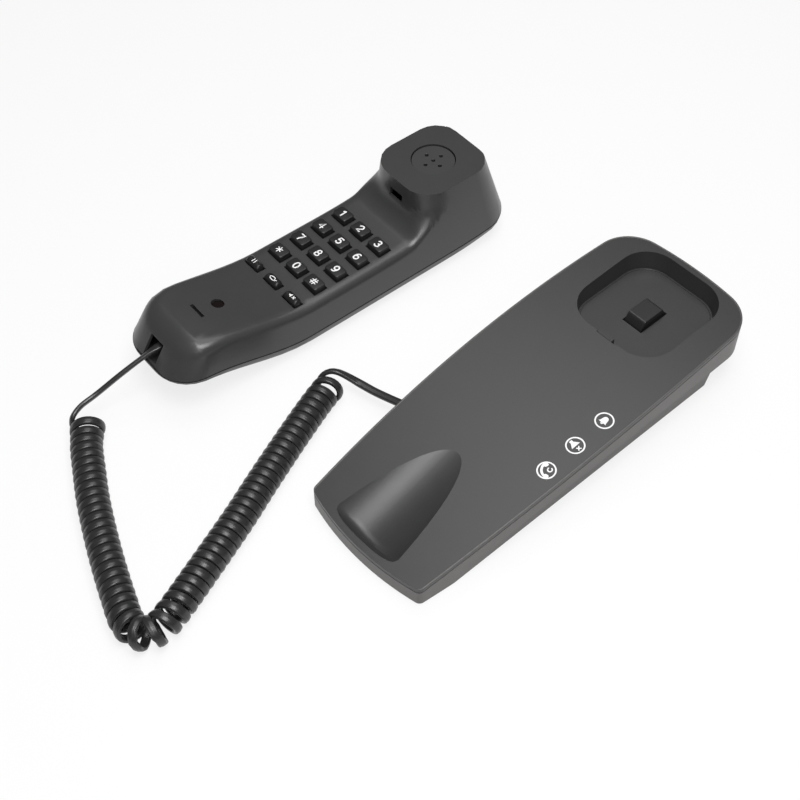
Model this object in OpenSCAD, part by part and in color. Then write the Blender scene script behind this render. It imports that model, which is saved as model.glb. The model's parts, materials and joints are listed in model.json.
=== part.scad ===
// Corded desk phone, slimline pattern: a long wedge base with an ear cradle and
// a hook plunger, a keypad handset lying off the hook on its back, and the
// curly cord between them. Base long axis is Y, the far (ear) end is +Y.

/* [Base body] */
// Length of the base
base_len = 220; // [212:1:228]
// Greatest width of the base
base_w = 87; // [83:0.5:91]
// Height of the top at the far end
base_h = 34; // [33:0.5:37]
// Plan radius of the long sides
side_bow_r = 1200; // [1000:50:1500]
// Distance of the widest point ahead of the middle
side_bow_y = 28; // [20:1:36]
// Plan radius of the near edge
near_bow_r = 145; // [130:5:170]
// Plan radius of the far edge
far_bow_r = 200; // [170:5:240]
// Far corner radius
far_corner_r = 20; // [16:1:24]
// Near corner radius
near_corner_r = 3; // [2.5:0.5:6]
// Radius of the lengthwise crown
crown_r = 1020; // [980:10:1080]
// Distance of the crown's summit ahead of the middle
crown_y = 106; // [100:1:110]
// Wall thickness of the base mouldings
wall = 2.2; // [2:0.1:2.5]
// Thickness of the top plate
cover_t = 2; // [1.8:0.1:2.2]
// Parting groove between top plate and flange
part_gap = 0.6; // [0.4:0.1:0.8]
// Height of the rubber feet under the floor
foot_rise = 0.8; // [0.6:0.1:1]

/* [Base foot] */
// Width of the inset foot
foot_w = 76; // [74:0.5:78]
// Distance of the foot's far end ahead of the middle
foot_far = 81; // [78:1:83]
// Lean of the foot's far end
foot_lean = 7; // [5:0.5:8]
// Radius of the flange's underside
under_r = 541; // [520:5:560]
// Summit height of the flange's underside
under_h = 19.8; // [19:0.1:20]
// Summit distance of the flange's underside ahead of the middle
under_y = 40; // [36:1:44]

/* [Cradle recess] */
// Distance of the recess centre ahead of the middle
rec_y = 75.9; // [75.5:0.1:76.1]
// Width of the recess floor
rec_w = 52.4; // [50:0.2:53]
// Length of the recess floor
rec_l = 57.6; // [56:0.2:58]
// Floor corner radius
rec_r = 15; // [14:0.5:17]
// Floor height
rec_floor = 23.8; // [23.4:0.1:24.2]
// Growth of the recess towards its opening, each side
rec_draft = 1.5; // [1.2:0.1:1.6]
// Thickness of the recess walls and floor
rec_t = 1.8; // [1.6:0.1:2]

/* [Finger trough] */
// Offset of the trough across the base
trough_x = -1.5; // [-2:0.5:0]
// Radius of the scoop across
trough_r = 27; // [26:0.5:29]
// Distance of the near edge behind the middle
trough_near = 107; // [106.5:0.1:107.2]
// Lowest point of the trough
trough_floor = 5.2; // [5:0.1:5.8]
// Distance of the apex behind the middle
trough_tip = 48; // [46:1:50]
// Steepness of the near wall
trough_steep = 2.2; // [2:0.1:2.4]
// Softness of the near wall's foot
trough_soft = 10; // [8:0.5:11]
// Thickness of the trough's bowl
trough_t = 1.5; // [1.3:0.1:1.6]

/* [Hook plunger] */
// Width of the plunger
hook_w = 10.6; // [10:0.1:11]
// Length of the plunger
hook_l = 17.4; // [16.5:0.1:18]
// Length of its flat top
hook_top_l = 13.6; // [12.6:0.1:14.6]
// Height of its top over the recess floor
hook_rise = 4.5; // [4:0.1:5]
// Travel of the plunger
hook_travel = 3.5; // [3:0.1:3.8]
// Distance of the plunger ahead of the middle
hook_y = 75.6; // [75:0.1:76.2]
// Clearance of the plunger in its window
hook_gap = 0.8; // [0.6:0.05:0.9]

/* [Wall hook] */
// Width of the wall hook
tab_w = 9; // [8:0.5:10]
// Thickness of the wall hook
tab_t = 2; // [1.8:0.1:2.2]
// Height of its tip
tab_top = 31; // [30.5:0.1:31.4]
// Length of the wall hook
tab_l = 15; // [13:0.5:16]
// Travel of the wall hook upwards
tab_travel = 7; // [6:0.5:8]
// Clearance of the wall hook in its guide
tab_gap = 0.2; // [0.15:0.05:0.3]

/* [Jacks and plugs] */
// Handset plug width
plug_w = 7.65; // [7.5:0.05:7.8]
// Handset plug height
plug_h = 6.4; // [6.2:0.1:6.6]
// Handset plug length
plug_l = 12; // [11:0.5:13]
// Clearance of a plug in its jack
plug_gap = 0.2; // [0.15:0.05:0.3]
// Wall of a jack
jack_wall = 1.6; // [1.4:0.1:1.8]
// Depth of a jack's socket
jack_depth = 11; // [10.5:0.5:11.5]
// Distance of the base's handset jack ahead of the middle
jack_y = -41; // [-44:0.5:-38]
// Offset of the line jack across the base
line_jack_x = -16; // [-18:1:-14]
// Line socket width
line_w = 9.8; // [9.6:0.1:10.2]

/* [Circuit board] */
// Thickness of the boards
pcb_t = 1.6; // [1.5:0.1:1.7]
// Half width of the base board
pcb_half = 25; // [23:0.5:25.5]
// Near end of the base board behind the middle
pcb_near = 49; // [48:0.5:52]
// Far end of the base board ahead of the middle
pcb_far = 80; // [79:0.5:80.5]
// Height of the base board over the shell's floor
pcb_lift = 1.2; // [1:0.1:1.4]

/* [Screws] */
// Screw shank diameter
screw_d = 2.6; // [2.4:0.1:2.8]
// Screw head diameter
screw_head_d = 5.2; // [5:0.1:5.6]
// Screw head height
screw_head_h = 2; // [1.8:0.1:2.2]
// Clearance around screws
screw_gap = 0.3; // [0.2:0.05:0.4]
// Half spread of the base screws across
base_screw_x = 30; // [29.5:0.5:30.5]

/* [Handset body] */
// Half width of the handset at its widest level
hs_half_w = 27; // [26:0.5:28]
// Half width of the ear block's face
ear_half_w = 22; // [21:0.2:22.6]
// Height of the ear face
ear_h = 50; // [49:0.5:51]
// Near edge of the ear face ahead of the keypad's middle
ear_near = 43.5; // [43:0.5:44.5]
// Far edge of the ear face
ear_far = 91.5; // [90:0.5:92.5]
// Corner radius of the ear face
ear_r = 14.5; // [13:0.5:16]
// Radius of the sweep from the keypad's face up to the ear
ear_sweep = 11; // [9:0.5:12]
// Edge radius between the keypad's face and the sides
edge_r = 4; // [3:0.5:4.5]
// Edge radius between the face and the wall at the mouth end
mouth_r = 7; // [5:0.5:7.5]
// Far end of the handset at its widest level
hs_far = 103.5; // [102:0.5:106]
// Mouth end of the handset at its widest level
hs_near = -110.5; // [-112:0.5:-109]
// Face height at the keypad
face_h = 27.5; // [27:0.1:28.5]
// Rise of the face towards the mouth end
face_rise = 13; // [12:0.5:13.5]
// Height of the seam at the keypad
seam_h = 10.8; // [10:0.1:11.4]
// Rise of the seam towards the mouth end
seam_rise = 12; // [11:0.5:12.5]
// Wall thickness of the handset shells
hs_wall = 2; // [1.8:0.1:2.2]
// Parting gap between the handset shells
seam_gap = 0.4; // [0.3:0.1:0.5]

/* [Keys] */
// Spacing of the keys across
key_px = 14.3; // [13.8:0.1:14.6]
// Spacing of the keys along
key_py = 13.5; // [13.2:0.1:13.8]
// Middle of the first key row ahead of the handset's origin
key_row1 = 20; // [19.5:0.1:20.5]
// Key width at the face
key_w = 10.4; // [10:0.1:10.8]
// Key length at the face
key_l = 7.4; // [7:0.1:7.8]
// Key height over the face
key_rise = 3; // [2.6:0.1:3.2]
// Taper of a key's sides
key_taper = 0.7; // [0.5:0.1:0.9]
// Travel of a key
key_travel = 1.2; // [1:0.1:1.4]
// Clearance of a key in its window
key_gap = 0.35; // [0.3:0.05:0.45]
// Thickness of a key's flange
key_flange = 1; // [0.9:0.05:1.1]
// Function key spacing across
fkey_px = 15.5; // [15:0.1:16]
// Function key position along the handset
fkey_y = -35; // [-35.5:0.1:-34.5]
// Function key length
fkey_l = 4.8; // [4.4:0.1:5.2]

/* [Earpiece, lamp and microphone] */
// Radius of the earpiece disc
disc_r = 11.2; // [10.8:0.1:11.6]
// Clearance around the disc
disc_gap = 0.4; // [0.3:0.05:0.5]
// Thickness of the disc
disc_t = 2.4; // [2.2:0.1:2.6]
// Depth of the disc below the ear face
disc_sink = 0.8; // [0.5:0.1:0.9]
// Radius of the earpiece holes
ear_hole_r = 1; // [0.8:0.1:1.2]
// Distance of the outer holes from the middle
ear_hole_at = 5.2; // [4.8:0.1:5.6]
// Radius of the speaker
speaker_r = 14; // [13.5:0.1:14.2]
// Height of the speaker
speaker_h = 7; // [6:0.5:8]
// Lamp radius
lamp_r = 3.1; // [2.8:0.1:3.3]
// Lamp position along the handset
lamp_y = -67.5; // [-68.5:0.5:-66.5]
// Microphone slot position along the handset
mic_y = -79; // [-80:0.5:-78]
// Microphone slot width
mic_slot_w = 10; // [9:0.5:11]
// Thickness of the microphone slot
mic_slot_t = 1.8; // [1.4:0.1:2]
// Microphone capsule radius
mic_r = 4.8; // [4.5:0.1:5]

/* [Cord] */
// Thickness of the straight cord
cord_d = 3.6; // [3.2:0.1:3.9]
// Outer diameter of the coil
coil_d = 15.4; // [14:0.2:17]

/* [Hidden] */
$fn = 64;

// Places of the two units in the shared frame
base_at = [61, 5.5, 0];
handset_at = [-73, -6.5, 0];
handset_yaw = -2.5;
module at_base() { translate(base_at) children(); }
module at_handset() { translate(handset_at) rotate([0, 0, handset_yaw]) children(); }

big = 400;
eps = 0.01;
floor_z = foot_rise;
floor_top = floor_z + wall;
crown_z = base_h - crown_r;

// Height of the base's top at a distance y ahead of the middle
function top_z(y) = crown_z + sqrt(crown_r * crown_r - (y - crown_y) * (y - crown_y));

// Centre of a circle that touches two circles from inside: side is 1 for the far
// one of the two answers and -1 for the near one
function meet(a, ra, b, rb, side) =
    let (d = norm(b - a), u = (b - a) / d, h = (ra * ra - rb * rb + d * d) / (2 * d),
         k = sqrt(max(0, ra * ra - h * h)), p = a + h * u, q = [-u[1], u[0]],
         up = q[1] > 0 ? q : -q)
    p + side * k * up;
side_c = [-(side_bow_r - base_w / 2), side_bow_y];
near_c = [0, -base_len / 2 + near_bow_r];
far_c = [0, base_len / 2 - far_bow_r];
function bearing(c, p) = atan2(p[1] - c[1], p[0] - c[0]);
function arc(c, r, a, b, n) =
    [for (i = [0 : n]) c + r * [cos(a + (b - a) * i / n), sin(a + (b - a) * i / n)]];

// Right half of the base's outline from the near middle to the far middle, inset by g
function half_plan(g) =
    let (rf = max(far_corner_r - g, 1), rn = max(near_corner_r - g, 1),
         cf = meet(side_c, side_bow_r - g - rf, far_c, far_bow_r - g - rf, 1),
         cn = meet(side_c, side_bow_r - g - rn, near_c, near_bow_r - g - rn, -1))
    concat(
        arc(near_c, near_bow_r - g, -90, bearing(near_c, cn), 8),
        arc(cn, rn, bearing(near_c, cn), bearing(side_c, cn), 6),
        arc(side_c, side_bow_r - g, bearing(side_c, cn), bearing(side_c, cf), 24),
        arc(cf, rf, bearing(side_c, cf), bearing(far_c, cf), 14),
        arc(far_c, far_bow_r - g, bearing(far_c, cf), 90, 8));
module base_plan(g) {
    h = half_plan(g);
    n = len(h);
    polygon(concat([for (i = [0 : n - 2]) h[i]], [for (i = [n - 1 : -1 : 1]) [-h[i][0], h[i][1]]]));
}

// A solid that lies across the base: its outline is in Y and Z
module across(w) { rotate([90, 0, 90]) linear_extrude(w, center = true) children(); }

// Everything under the crowned top, lowered by drop
span = base_len / 2 + 8;
module under_crown(drop) {
    across(big) polygon(concat(
        [[-span, -20]], [for (y = [-span : span / 24 : span + eps])
            [y, crown_z + sqrt(pow(crown_r - drop, 2) - pow(y - crown_y, 2))]],
        [[span, -20]]));
}
// Everything over the flange's arched underside, raised by g
module over_arch(g) {
    across(big) polygon(concat(
        [for (y = [-span : span / 24 : span + eps])
            [y, under_h - under_r + sqrt(pow(under_r + g, 2) - pow(y - under_y, 2))]],
        [[span, 90], [-span, 90]]));
}

// Space inside the flange and inside the foot, inset by g
module flange_space(g) {
    intersection() {
        translate([0, 0, floor_z + g]) linear_extrude(base_h + 5) base_plan(g);
        over_arch(g);
    }
}
module foot_space(g) {
    intersection() {
        translate([0, 0, floor_z + g]) linear_extrude(under_h - floor_z)
            intersection() {
                base_plan(g);
                translate([-foot_w / 2 + g, -base_len / 2])
                    square([foot_w - 2 * g, base_len]);
            }
        across(foot_w + 10) polygon([
            [-base_len / 2 - 1, 0], [foot_far - g, 0],
            [foot_far + foot_lean - g, under_h], [foot_far + foot_lean - g, base_h],
            [-base_len / 2 - 1, base_h]]);
    }
}

screw_ys = [-78, 55];
post_z = floor_top + 3.8;
post_r = 3.4;
boss_r = 4.4;

// Rounded pocket that the ear block drops into, grown by g
rec_top = base_h + 2.5;
rec_grow = rec_draft * (rec_top - rec_floor) / (base_h - rec_floor);
module recess_space(g) {
    hull() for (x = [-1, 1], y = [-1, 1])
        translate([x * (rec_w / 2 - rec_r), rec_y + y * (rec_l / 2 - rec_r), rec_floor - g])
            cylinder(r1 = rec_r + g, r2 = rec_r + g + rec_grow, h = rec_top - rec_floor + g,
                     $fn = 40);
}

// Teardrop scoop, grown by g: a tilted round channel that a steep wall ends
trough_deep = trough_near - 9;
trough_tilt = (top_z(-trough_tip) - trough_floor) / (trough_deep - trough_tip);
function trough_z(x, y, g) =
    let (a = top_z(-trough_tip) + trough_tilt * (y + trough_tip) + trough_r
             - sqrt(pow(trough_r + g, 2) - x * x),
         b = top_z(-trough_near)
             - trough_steep * (y + 1.1 * g + trough_near - x * x / (2 * near_bow_r)),
         h = max(trough_soft - abs(a - b), 0) / trough_soft)
    max(a, b) + h * h * trough_soft / 4;
module trough_space(g) {
    n = 32;
    m = 26;
    translate([trough_x, 0, 0]) skin([for (i = [0 : n], k = [0 : m + 2])
        let (y = -trough_near - 3.5 + (trough_near + 7.5 - trough_tip) * i / n)
        k > m ? [(k == m + 1 ? 1 : -1) * 24, y, 60]
              : [24 * (2 * k / m - 1), y, trough_z(24 * (2 * k / m - 1), y, g)]], n, m + 3);
}

hook_win_w = hook_w + 2 * hook_gap;
hook_win_l = hook_l + 2 * hook_gap;
tab_y = rec_y - rec_l / 2 - rec_draft - tab_t / 2 + 1.6;
tab_slot_w = tab_w + 2 * tab_gap;
tab_spare = 3.2;
guide_t = 1.6;
tab_heel = 2;
tab_heel_t = 1.6;
guide_z = tab_top - tab_l - 0.1 - guide_t;
guide_stop = tab_top - tab_l + tab_heel_t + tab_travel + 0.2;

module base_top_cover() {
    color([0.26, 0.26, 0.27]) at_base() difference() {
        intersection() {
            union() {
                difference() {
                    linear_extrude(big / 4) base_plan(0);
                    under_crown(cover_t);
                }
                // locating rib inside the flange
                difference() {
                    linear_extrude(big / 4) base_plan(wall + 0.2);
                    translate([0, 0, -1]) linear_extrude(big / 3) base_plan(wall + 1.7);
                    under_crown(cover_t + 2.6);
                }
                intersection() {
                    linear_extrude(big / 4) base_plan(wall + 0.3);
                    union() { recess_space(rec_t); trough_space(trough_t); }
                }
                // posts down to the shell's bosses
                for (x = [-1, 1], y = screw_ys)
                    translate([x * base_screw_x, y, post_z])
                        cylinder(r = post_r, h = top_z(y) - post_z - 1);
                // pocket that guides the wall hook
                translate([-tab_slot_w / 2 - guide_t,
                           tab_y - tab_t / 2 - tab_heel - tab_gap - guide_t, guide_z])
                    cube([tab_slot_w + tab_spare + 2 * guide_t,
                          tab_t + tab_heel + 2 * tab_gap + 2 * guide_t,
                          top_z(tab_y) - guide_z - 1]);
            }
            under_crown(0);
            translate([0, 0, floor_top + 0.1]) linear_extrude(big / 4) base_plan(0);
        }
        recess_space(0);
        trough_space(0);
        translate([-hook_win_w / 2, hook_y - hook_win_l / 2, rec_floor - rec_t - 1])
            cube([hook_win_w, hook_win_l, rec_t + 3]);
        translate([-tab_slot_w / 2, tab_y - tab_t / 2 - tab_gap, guide_z + guide_t])
            cube([tab_slot_w + tab_spare, tab_t + 2 * tab_gap, big / 4]);
        translate([-tab_slot_w / 2, tab_y - tab_t / 2 - tab_heel - tab_gap, guide_z + guide_t])
            cube([tab_slot_w, tab_t + tab_heel + 2 * tab_gap, guide_stop - guide_z - guide_t]);
        for (x = [-1, 1], y = screw_ys)
            translate([x * base_screw_x, y, post_z - 1])
                cylinder(d = screw_d, h = screw_len - 2);
    }
}

jack_z = floor_top + pcb_lift + pcb_t + jack_wall + plug_h / 2 + plug_gap;
jack_w_out = plug_w + 2 * (plug_gap + jack_wall);
jack_h_out = plug_h + 2 * (plug_gap + jack_wall);
jack_l_out = jack_depth + 2.5;
// Distance of the foot's side wall from the middle, at y
function wall_x(y) = min(foot_w / 2, side_c[0] + sqrt(pow(side_bow_r, 2) - pow(y - side_c[1], 2)));
jack_face_x = -wall_x(jack_y) + wall + 0.2;
line_h = 7.4;
line_z = floor_top + pcb_lift + pcb_t + jack_wall + line_h / 2;
line_l = 14;
line_face = foot_far - wall - 0.2;
slider_y = 16;
slider_w = 5;
slider_h = 2.6;
slider_travel = 3;
ringer_x = -foot_w / 2 + 5;
slider_z = floor_top + pcb_lift + pcb_t + 3.2;
sound_y = 22;

module base_bottom_shell() {
    color([0.33, 0.33, 0.34]) at_base() difference() {
        union() {
            difference() {
                intersection() {
                    union() { flange_space(0); foot_space(0); }
                    under_crown(cover_t + part_gap);
                }
                flange_space(wall);
                foot_space(wall);
            }
            for (x = [-1, 1], y = screw_ys)
                translate([x * base_screw_x, y, floor_z]) cylinder(r = boss_r, h = post_z - floor_z);
            // rests of the circuit board
            for (x = [-1, 1], y = [-pcb_near + 6, pcb_far - 30, 0])
                translate([x * (pcb_half - 4), y, floor_z]) cylinder(r = 3, h = wall + pcb_lift);
        }
        for (x = [-1, 1], y = screw_ys)
            translate([x * base_screw_x, y, floor_z - 1]) {
                cylinder(d = screw_head_d + 2 * screw_gap, h = 1 + post_z - floor_z - 2.4);
                cylinder(d = screw_d + 2 * screw_gap, h = 10);
            }
        // handset jack opening in the foot's left wall
        translate([-foot_w / 2 - 1, jack_y - plug_w / 2 - 0.7,
                   jack_z - plug_h / 2 - latch_drop - 0.5])
            cube([foot_w / 2 + 1 - wall_x(jack_y) + wall + 1, plug_w + 1.4,
                  plug_h + latch_drop + 1.2]);
        // line jack opening in the foot's far wall
        translate([line_jack_x - line_w / 2 - 0.4, foot_far - wall - 1, line_z - line_h / 2 - 0.4])
            cube([line_w + 0.8, wall + foot_lean + 2, line_h + 0.8]);
        // ringer slider slot in the left wall
        translate([-foot_w / 2 - 1, slider_y - slider_w / 2 - slider_travel - 0.4,
                   slider_z - slider_h / 2 - 0.3])
            cube([wall + 2, slider_w + 2 * slider_travel + 0.8, slider_h + 0.6]);
        // sound holes under the ringer
        for (i = [0 : 7])
            translate([7 * cos(i * 45), sound_y + 7 * sin(i * 45), floor_z - 1])
                cylinder(r = 1, h = wall + 2);
        // pockets of the rubber feet
        for (p = foot_ps)
            translate([p[0], p[1], floor_z - 1]) cylinder(r = pad_r + 0.2, h = 1 + pad_in);
        // wall hangers: a round mouth with a narrow neck
        for (y = [-1, 1]) translate([0, keyhole_y + y * keyhole_pitch / 2, floor_z - 1]) {
            cylinder(r = keyhole_r, h = wall + 2);
            translate([-keyhole_neck / 2, 0, 0]) cube([keyhole_neck, keyhole_r + 5, wall + 2]);
        }
    }
}

pad_r = 5.5;
pad_in = 0.8;
foot_ps = [[-27, -90], [27, -90], [-27, 70], [27, 70]];
keyhole_pitch = 100;
keyhole_y = -6;
keyhole_r = 4;
keyhole_neck = 4;

module base_feet() {
    color([0.1, 0.1, 0.1]) at_base() for (p = foot_ps)
        translate([p[0], p[1], 0]) cylinder(r = pad_r, h = floor_z + pad_in);
}

screw_len = 10;
module screw(l) {
    difference() {
        cylinder(d = screw_head_d, h = screw_head_h);
        translate([0, 0, -1]) {
            translate([-1.6, -0.4, 0]) cube([3.2, 0.8, 2]);
            translate([-0.4, -1.6, 0]) cube([0.8, 3.2, 2]);
        }
    }
    translate([0, 0, screw_head_h]) cylinder(d = screw_d - 2 * 0.05, h = l - screw_head_h);
}
module base_screws() {
    color([0.6, 0.6, 0.62]) at_base() for (x = [-1, 1], y = screw_ys)
        translate([x * base_screw_x, y, post_z - 2.4 - screw_head_h]) screw(screw_len);
}

pcb_z = floor_top + pcb_lift;
pcb_top = pcb_z + pcb_t;
module base_board() {
    color([0.16, 0.35, 0.2]) at_base() difference() {
        union() {
            translate([-pcb_half, -pcb_near, pcb_z]) cube([2 * pcb_half, pcb_near + pcb_far, pcb_t]);
            // arms under the jack and the ringer switch
            translate([jack_face_x + 0.4, jack_y - 6, pcb_z])
                cube([1 - jack_face_x - 0.4 - pcb_half, 12, pcb_t]);
            translate([ringer_x, slider_y - 8, pcb_z])
                cube([1 - ringer_x - pcb_half, 16, pcb_t]);
        }
        translate([0, hook_y, pcb_z - 1]) cylinder(r = spring_pin_r - 0.5, h = pcb_t + 2);
        // room for the head of a wall screw
        translate([-6, keyhole_y + keyhole_pitch / 2 - 6, pcb_z - 1]) cube([12, 17, pcb_t + 2]);
    }
}

module base_components() {
    q = pcb_half / 25;
    color([0.15, 0.15, 0.16]) at_base() translate([0, 0, pcb_top]) {
        translate([6 * q, -8 * q, 0]) cube([14 * q, 7.5 * q, 3.2 * q]);
        translate([-18 * q, -24 * q, 0]) cube([10 * q, 10 * q, 2.2 * q]);
        translate([7 * q, -30 * q, 0]) cube([12 * q, 9 * q, 6.5 * q]);
        translate([-13 * q, -2 * q, 0]) cylinder(r = 3.2 * q, h = 8 * q);
        translate([-4 * q, -36 * q, 0]) cylinder(r = 2.5 * q, h = 6.5 * q);
        translate([18 * q, 42 * q, 0]) cylinder(r = 3.2 * q, h = 8 * q);
        translate([-2 * q, 54 * q, 0]) cube([6 * q, 4 * q, 5 * q]);
    }
}

ringer_r = 11;
ringer_h = 4.6;
module ringer_capsule() {
    color([0.12, 0.12, 0.13]) at_base() translate([0, sound_y, pcb_top]) difference() {
        cylinder(r = ringer_r, h = ringer_h);
        translate([0, 0, ringer_h - 1.2]) cylinder(r = 2, h = 2);
    }
}

hook_bot = rec_floor - rec_t - 0.15;
hook_flange_t = 1.4;
hook_lip = 1.8;
spring_pin_r = 2.4;
spring_r = 4;
spring_wire = 0.8;
stem_bot = pcb_top + hook_travel + 0.6;
module hook_plunger() {
    top = rec_floor + hook_rise;
    color([0.24, 0.24, 0.25]) at_base() translate([0, hook_y, 0]) {
        // button with sloped near and far faces
        across(hook_w) polygon([
            [-hook_l / 2, hook_bot], [hook_l / 2, hook_bot], [hook_l / 2, rec_floor + 0.6],
            [hook_top_l / 2, top - 0.6], [hook_top_l / 2 - 0.8, top],
            [-hook_top_l / 2 + 0.8, top], [-hook_top_l / 2, top - 0.6],
            [-hook_l / 2, rec_floor + 0.6]]);
        // retaining flange below the recess floor
        translate([-hook_w / 2 - hook_lip, -hook_l / 2 - hook_lip, hook_bot - hook_flange_t])
            cube([hook_w + 2 * hook_lip, hook_l + hook_lip, hook_flange_t]);
        translate([0, 0, stem_bot]) cylinder(r = spring_pin_r, h = hook_bot - stem_bot - 0.5);
        // vane of the hook switch
        translate([-2.5, vane_y - 0.4, vane_bot])
            cube([5, 0.8, hook_bot - hook_flange_t - vane_bot + 0.5]);
    }
}

vane_y = -8.6;
vane_bot = pcb_top + hook_travel + 2.4;
spring_bot = pcb_top;
spring_top = hook_bot - hook_flange_t;
spring_turns = 5;
function spring_p(t) = [
    (spring_r - spring_wire / 2) * cos(360 * spring_turns * t),
    (spring_r - spring_wire / 2) * sin(360 * spring_turns * t),
    spring_bot + spring_wire / 2 + (spring_top - spring_bot - spring_wire) * t];
module hook_spring() {
    color([0.7, 0.7, 0.72]) at_base() translate([0, hook_y, 0])
        tube([for (i = [0 : 70]) spring_p(i / 70)], spring_wire / 2, 6);
}

// The slotted switch that the vane drops into
module hook_switch() {
    color([0.1, 0.1, 0.11]) at_base() translate([0, hook_y + vane_y, pcb_top]) difference() {
        translate([-4, -2.6, 0]) cube([8, 5.2, vane_bot - pcb_top + 1.6]);
        translate([-5, -0.8, 1.2]) cube([10, 1.6, 30]);
    }
}

module line_jack() {
    color([0.2, 0.2, 0.21]) at_base() translate([line_jack_x, line_face, 0]) difference() {
        translate([-line_w / 2 - jack_wall, -line_l, pcb_top])
            cube([line_w + 2 * jack_wall, line_l, line_h + 2 * jack_wall]);
        translate([-line_w / 2, -line_l + 2, line_z - line_h / 2])
            cube([line_w, line_l, line_h]);
    }
}

// Jack block whose mouth faces -Y, centred on its socket
module jack_block() {
    difference() {
        translate([-jack_w_out / 2, 0, -jack_h_out / 2]) cube([jack_w_out, jack_l_out, jack_h_out]);
        translate([-plug_w / 2 - plug_gap, -1, -plug_h / 2 - plug_gap])
            cube([plug_w + 2 * plug_gap, jack_depth + 1, plug_h + 2 * plug_gap]);
        // latch channel and window
        translate([-latch_w / 2 - 0.4, -1, -plug_h / 2 - latch_drop - plug_gap])
            cube([latch_w + 0.8, jack_depth + 1, latch_drop + 1]);
        translate([-latch_w / 2 - 0.4, 2.5, -jack_h_out / 2 - 1])
            cube([latch_w + 0.8, 3, jack_wall + 2]);
    }
}
module base_handset_jack() {
    color([0.12, 0.12, 0.13]) at_base() translate([jack_face_x, jack_y, jack_z])
        rotate([0, 0, -90]) jack_block();
}

// Plug whose tail points to -Y; its nose is at y = jack_depth - 0.3
plug_nose = jack_depth - 0.3;
plug_tail = plug_l - plug_nose;
latch_w = 3;
latch_drop = 0.9;
module plug_body() {
    difference() {
        translate([-plug_w / 2, -plug_tail, -plug_h / 2]) cube([plug_w, plug_l, plug_h]);
        for (i = [-1.5 : 1 : 1.5])
            translate([i * 1.27 - 0.3, plug_nose - 4, plug_h / 2 - 1.2]) cube([0.6, 5, 2]);
    }
    // latch lever
    translate([-latch_w / 2, -plug_tail - 0.6, -plug_h / 2 - latch_drop])
        cube([latch_w, plug_l - 3, latch_drop - 0.2]);
    translate([-latch_w / 2, plug_nose - 4, -plug_h / 2 - latch_drop])
        cube([latch_w, 1.2, latch_drop + 0.3]);
}
module plug_base() {
    color([0.14, 0.14, 0.15]) at_base() translate([jack_face_x, jack_y, jack_z])
        rotate([0, 0, -90]) plug_body();
}

module ringer_switch() {
    color([0.75, 0.75, 0.76]) at_base() difference() {
        translate([ringer_x, slider_y - 7, pcb_top]) cube([6, 14, slider_z - pcb_top + 2.8]);
        translate([ringer_x - 1, slider_y - slider_w / 2 - slider_travel - 0.2,
                   slider_z - slider_h / 2 - 0.2])
            cube([4, slider_w + 2 * slider_travel + 0.4, slider_h + 0.4]);
    }
}
module ringer_slider() {
    color([0.12, 0.12, 0.13]) at_base() difference() {
        translate([-foot_w / 2 - 0.8, slider_y - slider_w / 2, slider_z - slider_h / 2])
            cube([foot_w / 2 + 0.8 + ringer_x + 2.6, slider_w, slider_h]);
        for (i = [-1 : 1])
            translate([-foot_w / 2 - 1.2, slider_y + i * 1.4 - 0.3, slider_z - 5])
                cube([0.8, 0.6, 10]);
    }
}

module wall_hook() {
    color([0.3, 0.3, 0.31]) at_base() translate([-tab_w / 2, tab_y - tab_t / 2, tab_top - tab_l]) {
        cube([tab_w, tab_t, tab_l]);
        // heel that stops under the guide when the hook is pulled up
        translate([0, -tab_heel, 0]) cube([tab_w, tab_heel + 0.5, tab_heel_t]);
    }
}

// ---- handset: origin under the keypad's middle, mouth end at -Y ----
function ease(t) = let (u = min(max(t, 0), 1)) u * u * (3 - 2 * u);
function face_z(y) = face_h + face_rise * ease((-28 - y) / 72)
    + (y > 10 ? 2.5 * pow((y - 10) / 36, 2) : 0);
function seam_z(y) = seam_h + seam_rise * ease((-32 - y) / 66)
    + (y > 60 ? 3.5 * pow((y - 60) / 45, 2) : 0);
function belly(y) = seam_h - 2.4 * ease((-40 - y) / 62)
    - (y > 60 ? 3 * pow((y - 60) / 45, 2) : 0);
side_slope = (hs_half_w - ear_half_w) / (ear_h - 14);
near_slope = 0.68;
far_slope = (hs_far - ear_far) / (ear_h - 14);
function lv_w(z) = hs_half_w - side_slope * (z - 14);
function lv_a(z) = hs_near + near_slope * (z - 21);
function lv_b(z) = hs_far - far_slope * (z - 14);
function lv_r(z) = 20 - 0.145 * (z - 8);
// Half width of the handset's outline at y, on level z, inset by g
function out_w(y, z, g) = let (w = lv_w(z) - g, r = lv_r(z) - g, a = lv_a(z) + g,
    b = lv_b(z) - g, d = min(r, max(0, y - (b - r), (a + r) - y)))
    w - r + sqrt(max(0, r * r - d * d));

// Rounded meeting of two distances: solid corner and hollow corner
function round_in(a, b, r) = min(-r, max(a, b)) + norm([max(r + a, 0), max(r + b, 0)]);
function round_out(a, b, r) = max(r, min(a, b)) - norm([max(r - a, 0), max(r - b, 0)]);
// Distance outside the leaning walls
function tub_d(x, y, z) = let (w = lv_w(z), a = lv_a(z), b = lv_b(z), r = lv_r(z),
    qx = abs(x) - w + r, qy = abs(y - (a + b) / 2) - (b - a) / 2 + r)
    norm([max(qx, 0), max(qy, 0)]) + min(max(qx, qy), 0) - r;
// Edge radius between face and sides: it grows at the mouth and as the face sweeps up to the ear
function edge_at(y, z) = y < 15 ? edge_r + (mouth_r - edge_r) * ease((-76 - y) / 22)
    : edge_r + (ear_r - edge_r) * ease((z - face_h - 1.5) / 11);
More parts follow.
